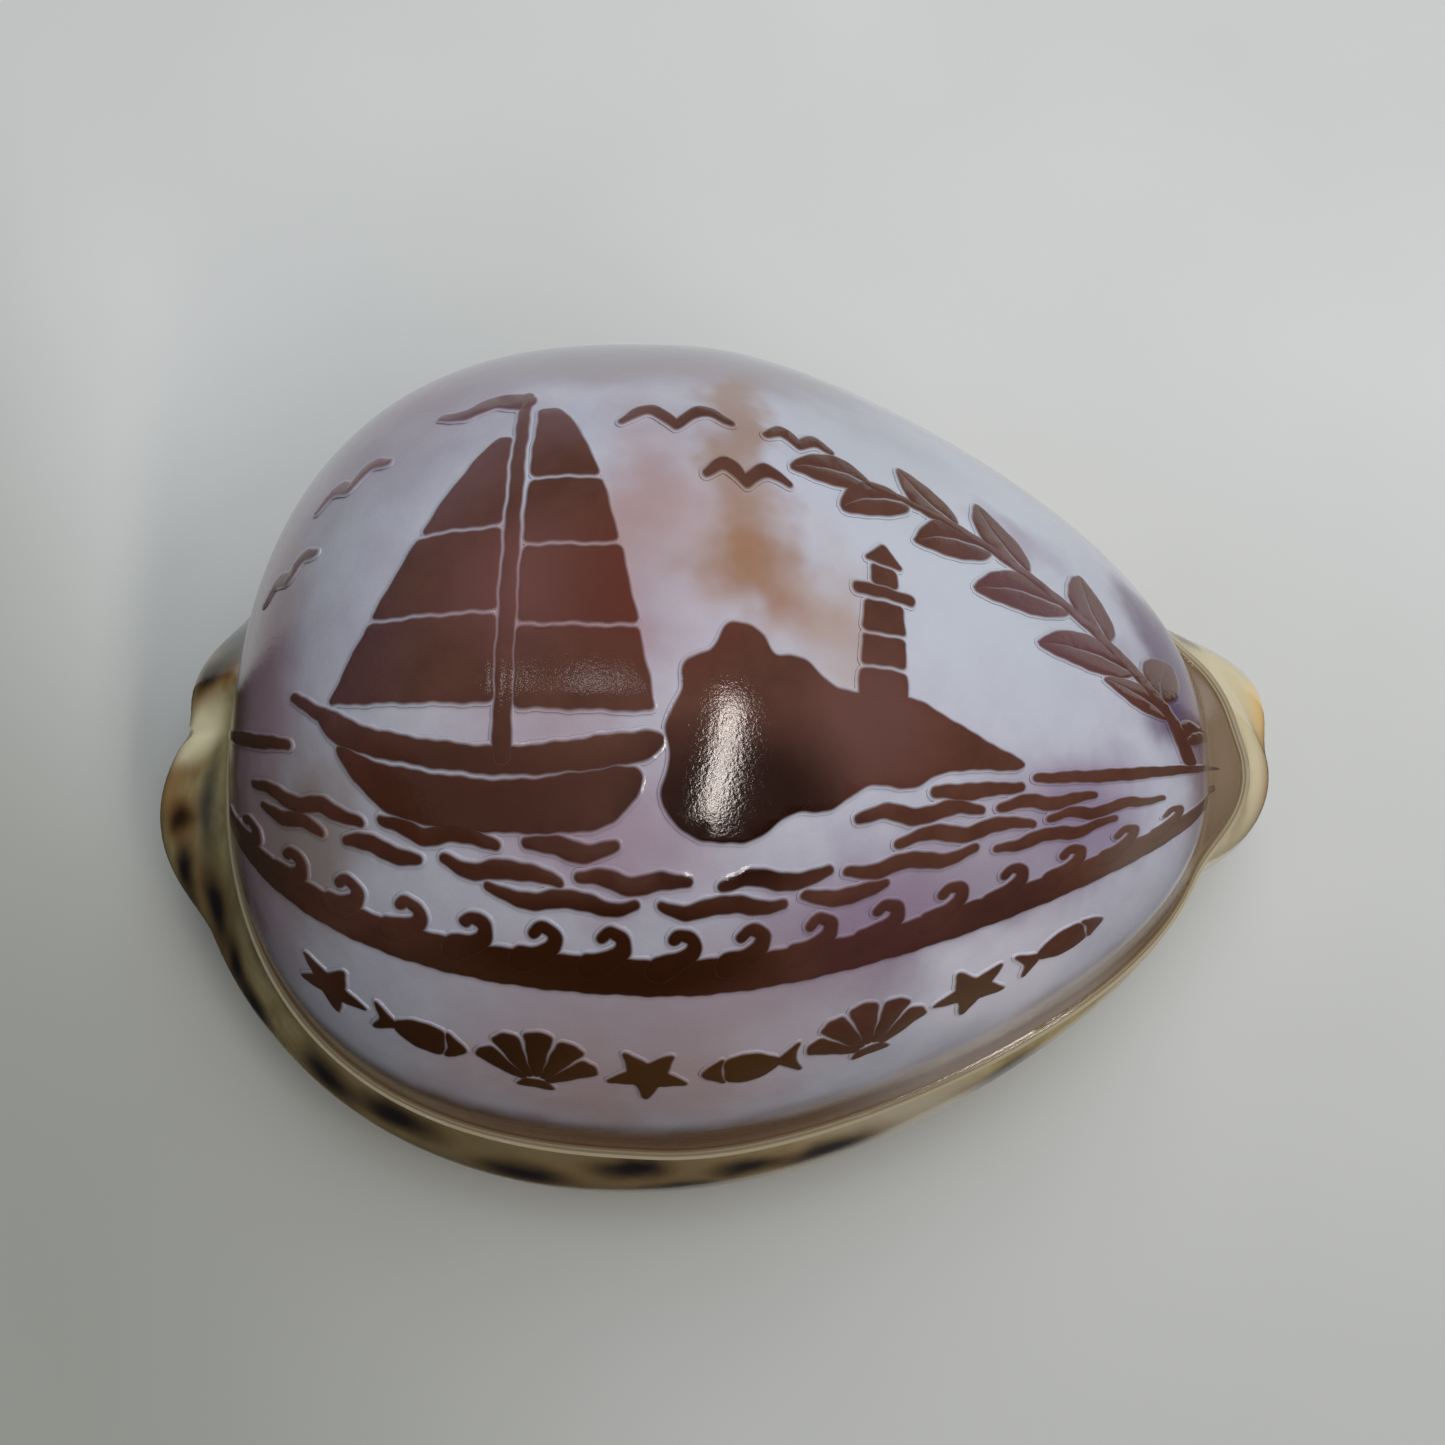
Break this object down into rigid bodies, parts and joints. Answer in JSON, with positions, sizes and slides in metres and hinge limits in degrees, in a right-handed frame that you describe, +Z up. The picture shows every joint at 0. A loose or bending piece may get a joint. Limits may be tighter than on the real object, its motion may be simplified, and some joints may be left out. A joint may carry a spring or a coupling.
{
  "type": "cowrie shell",
  "caption": "Cowrie shell with a high domed back, a toothed slit along its base and a back polished one step lower than the rim.",
  "frame": {"origin": "centre of the footprint, on the surface the shell rests on", "axes": "+X towards the narrow front end, -Y towards the outer lip, +Z up through the domed back"},
  "size_m": [0.0817, 0.0594, 0.0457],
  "materials": {
    "shell_enamel": "polished shell enamel, glossy: a mauve-grey polished back, cream sides with blurred dark brown spots"
  },
  "bodies": {
    "root": {"cowrie_shell": "shell_enamel"}
  },
  "joints": []
}
